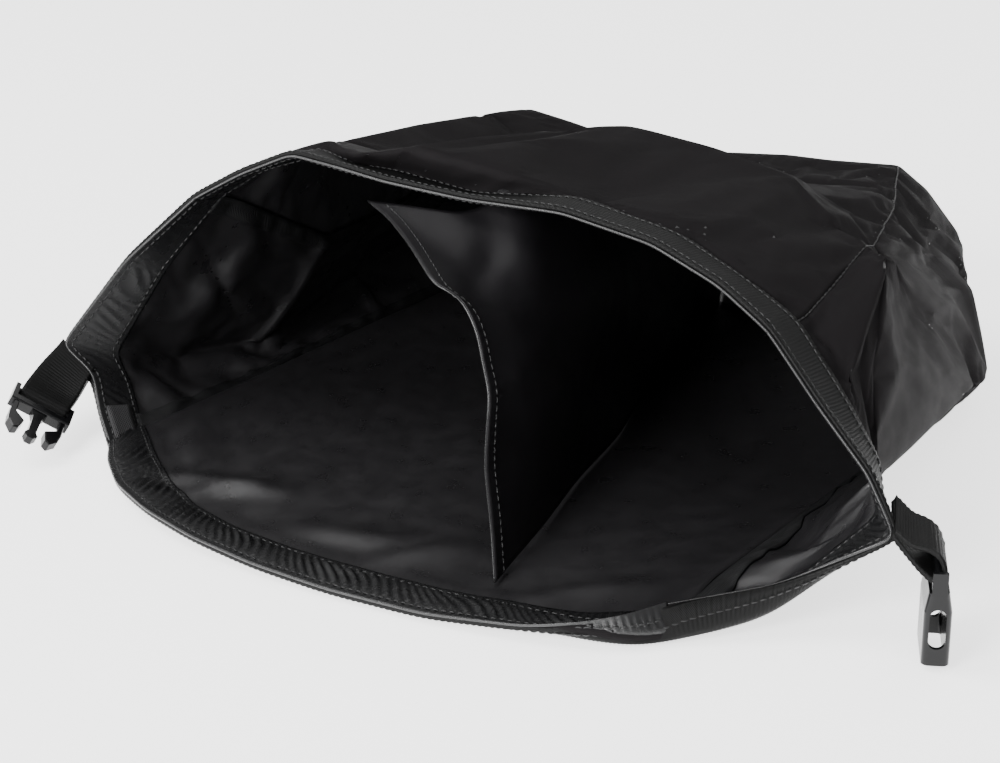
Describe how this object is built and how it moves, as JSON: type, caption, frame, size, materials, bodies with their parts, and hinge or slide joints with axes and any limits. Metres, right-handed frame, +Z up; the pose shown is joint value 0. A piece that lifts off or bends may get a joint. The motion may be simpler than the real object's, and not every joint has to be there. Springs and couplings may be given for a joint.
{
  "type": "shoe bag",
  "caption": "Roll-top shoe bag in black coated cloth, lying open on its wide panel, with gussets, an inner divider, a webbing-bound mouth and a side-release buckle on webbing tails.",
  "frame": {"origin": "on the surface that the bag lies on, between the two long floor seams, under the middle of the shoe space", "axes": "+Z up, -Y out of the mouth, +Y to the closed end, +X to the side with the socket half of the buckle"},
  "size_m": [0.3878, 0.3295, 0.122],
  "materials": {
    "shell_cloth": "coated nylon, satin",
    "divider_cloth": "coated nylon, satin",
    "hem_cloth": "coated nylon, folded and stitched",
    "webbing": "ribbed woven nylon",
    "seam_binding": "grosgrain tape",
    "woven_patch": "woven twill tape",
    "thread": "polyester sewing thread",
    "buckle_plastic": "moulded acetal, semi-gloss"
  },
  "bodies": {
    "bag": {"bottom_panel": "shell_cloth", "top_panel": "shell_cloth", "left_gusset": "shell_cloth", "right_gusset": "shell_cloth", "end_panel": "shell_cloth", "divider": "divider_cloth", "hem_bottom": "hem_cloth", "hem_left": "hem_cloth", "hem_top": "hem_cloth", "hem_right": "hem_cloth", "webbing_upper": "webbing", "webbing_lower": "webbing", "binding_upper_left": "seam_binding", "binding_upper_right": "seam_binding", "binding_lower_left": "seam_binding", "binding_lower_right": "seam_binding", "binding_end": "seam_binding", "patch_left": "woven_patch", "patch_right": "woven_patch"},
    "left_tail": {"left_tail": "webbing"},
    "plug": {"plug_frame": "buckle_plastic"},
    "prong_left": {"prong_left": "buckle_plastic"},
    "prong_right": {"prong_right": "buckle_plastic"},
    "right_tail": {"right_tail": "webbing"},
    "socket": {"socket_shell": "buckle_plastic"}
  },
  "joints": [
    {"name": "left_tail_bend", "type": "hinge", "parent": "bag", "child": "left_tail", "pos_m": [-0.1515, -0.0993, 0.0316], "axis": [-0.6768, -0.5191, 0.522], "range_deg": [-20, 60], "stiffness_Nm_per_rad": 0.05, "springref_deg": 1.72},
    {"name": "plug_turn", "type": "hinge", "parent": "left_tail", "child": "plug", "pos_m": [-0.1515, -0.1154, 0.01559], "axis": [-0.6768, -0.5191, 0.522], "range_deg": [-45, 8]},
    {"name": "prong_left_squeeze", "type": "hinge", "parent": "plug", "child": "prong_left", "pos_m": [-0.15381, -0.12764, 0.0192], "axis": [0.5321, 0.1451, 0.8342], "range_deg": [0, 7], "stiffness_Nm_per_rad": 0.2},
    {"name": "prong_right_squeeze", "type": "hinge", "parent": "plug", "child": "prong_right", "pos_m": [-0.14054, -0.11747, 0.00897], "axis": [-0.5321, -0.1451, -0.8342], "range_deg": [0, 7], "stiffness_Nm_per_rad": 0.2},
    {"name": "right_tail_bend", "type": "hinge", "parent": "bag", "child": "right_tail", "pos_m": [0.2029, -0.0874, 0.0402], "axis": [0.4692, -0.8831, 0.0002], "range_deg": [-20, 80], "stiffness_Nm_per_rad": 0.05, "springref_deg": 0.57},
    {"name": "socket_turn", "type": "hinge", "parent": "right_tail", "child": "socket", "pos_m": [0.21169, -0.08273, 0.03184], "axis": [0.4692, -0.8831, 0.0002], "range_deg": [-10, 110]}
  ],
  "couplings": [
    {"joint": "prong_right_squeeze", "follows": "prong_left_squeeze", "ratio": 1}
  ]
}
